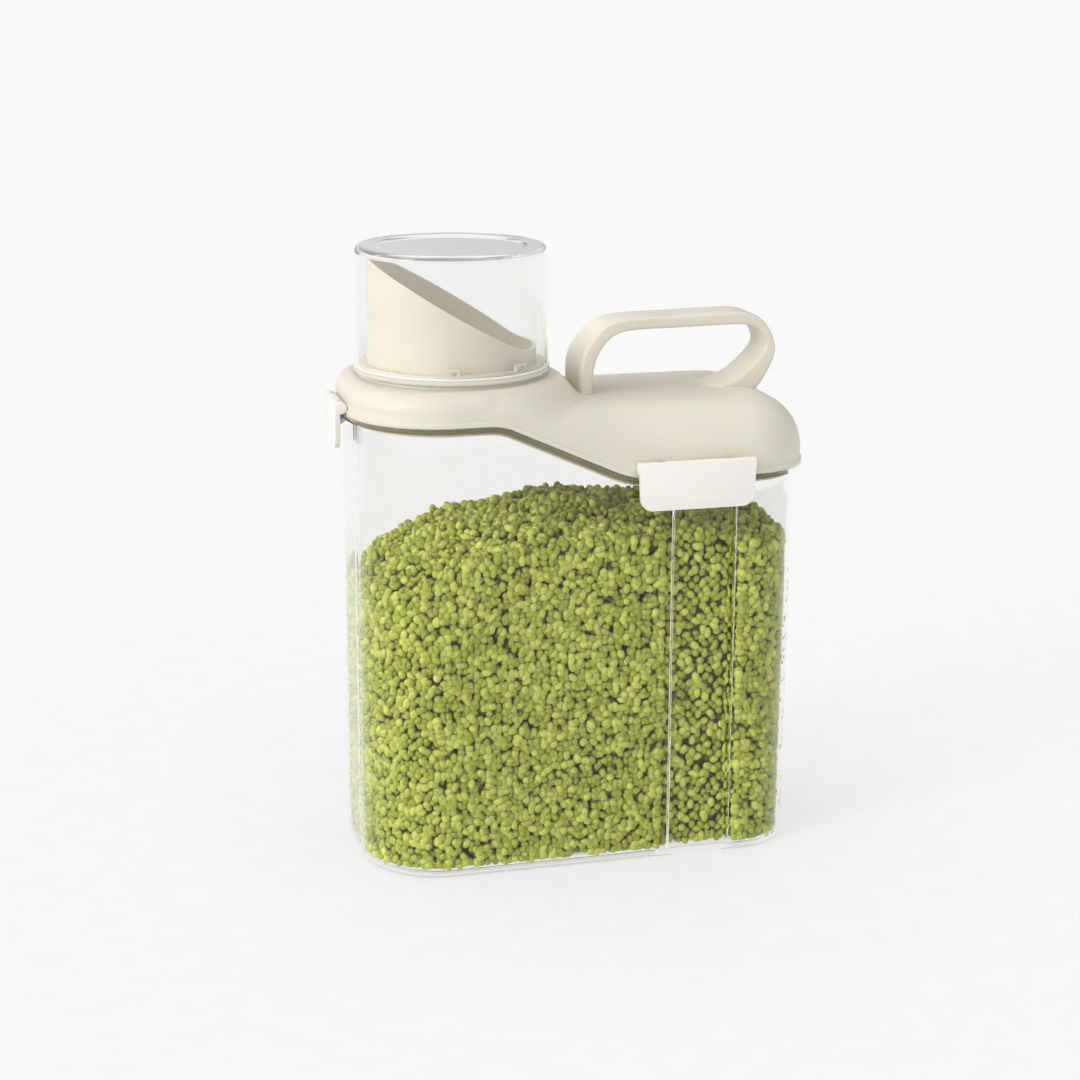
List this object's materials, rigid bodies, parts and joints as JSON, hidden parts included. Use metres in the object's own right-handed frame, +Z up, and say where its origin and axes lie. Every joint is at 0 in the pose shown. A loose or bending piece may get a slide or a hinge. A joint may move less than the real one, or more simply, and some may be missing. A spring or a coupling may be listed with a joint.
{
  "type": "dry food storage container",
  "caption": "Tall clear storage container with a stepped lid, slanted pouring spout under an upturned measuring cup, carry handle and swing latches.",
  "frame": {"origin": "middle of the container's underside, where it stands on the shelf", "axes": "+Z up, +X along the length towards the handle end with the spout end at -X, -Y the front"},
  "size_m": [0.2298, 0.1258, 0.3005],
  "materials": {
    "clear_plastic": "clear, glossy, slightly smoky",
    "cream_plastic": "satin moulded plastic",
    "latch_plastic": "satin moulded plastic",
    "silicone": "soft translucent silicone",
    "steel": "drawn wire"
  },
  "bodies": {
    "container": {"container": "clear_plastic"},
    "lid": {"lid": "cream_plastic", "handle": "cream_plastic", "lid_gasket": "silicone", "spout": "cream_plastic", "spout_seal": "silicone", "cup_seal": "silicone", "end_latch_pin": "steel", "front_latch_pin": "steel", "back_latch_pin": "steel"},
    "measuring_cup": {"measuring_cup": "clear_plastic"},
    "end_latch": {"end_latch": "latch_plastic"},
    "front_latch": {"front_latch": "latch_plastic"},
    "back_latch": {"back_latch": "latch_plastic"}
  },
  "joints": [
    {"name": "lid_lift", "type": "slide", "parent": "container", "child": "lid", "axis": [0, 0, 1], "range_m": [0, 0.14]},
    {"name": "cup_lift", "type": "slide", "parent": "lid", "child": "measuring_cup", "axis": [0, 0, 1], "range_m": [0, 0.1]},
    {"name": "end_latch_hinge", "type": "hinge", "parent": "lid", "child": "end_latch", "pos_m": [-0.1146, 0, 0.2261], "axis": [0, 1, 0], "range_deg": [0, 95]},
    {"name": "front_latch_hinge", "type": "hinge", "parent": "lid", "child": "front_latch", "pos_m": [0.0475, -0.0601, 0.1996], "axis": [-1, 0, 0], "range_deg": [0, 95]},
    {"name": "back_latch_hinge", "type": "hinge", "parent": "lid", "child": "back_latch", "pos_m": [0.0475, 0.0601, 0.1996], "axis": [1, 0, 0], "range_deg": [0, 95]}
  ]
}
